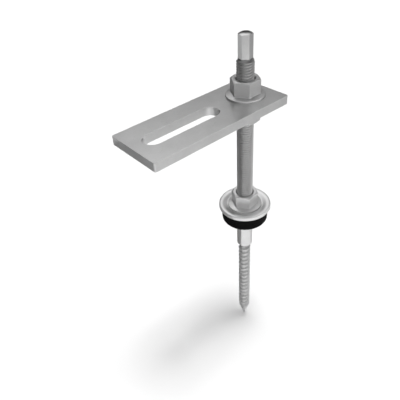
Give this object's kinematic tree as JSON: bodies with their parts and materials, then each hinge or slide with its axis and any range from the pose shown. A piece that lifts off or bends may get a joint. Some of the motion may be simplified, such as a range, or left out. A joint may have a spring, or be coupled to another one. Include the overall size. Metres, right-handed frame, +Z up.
{
  "type": "solar hanger bolt",
  "caption": "Roof bolt with hexagon drive, machine thread and self-tapping thread, a cup washer on a rubber seal, and a slotted adapter plate clamped between flange nuts.",
  "frame": {"origin": "on the bolt's axis at the roof surface, where the rubber seal's underside lies", "axes": "+Z up the bolt towards its hexagon drive, +X along the adapter plate away from its slot, +Y across the plate"},
  "size_m": [0.0917, 0.035, 0.226],
  "materials": {
    "bolt_steel": "rolled and turned stainless steel, satin",
    "nut_steel": "cold-formed stainless steel, satin",
    "plate_steel": "rolled stainless flat bar, matt, edges broken",
    "washer_steel": "stamped stainless sheet, smooth",
    "seal_rubber": "black moulded EPDM rubber, matt"
  },
  "bodies": {
    "root": {"hanger_bolt": "bolt_steel", "upper_plate_nut": "nut_steel", "adapter_plate": "plate_steel", "lower_plate_nut": "nut_steel", "seal_nut": "nut_steel", "sealing_washer": "washer_steel", "epdm_seal": "seal_rubber"}
  },
  "joints": []
}
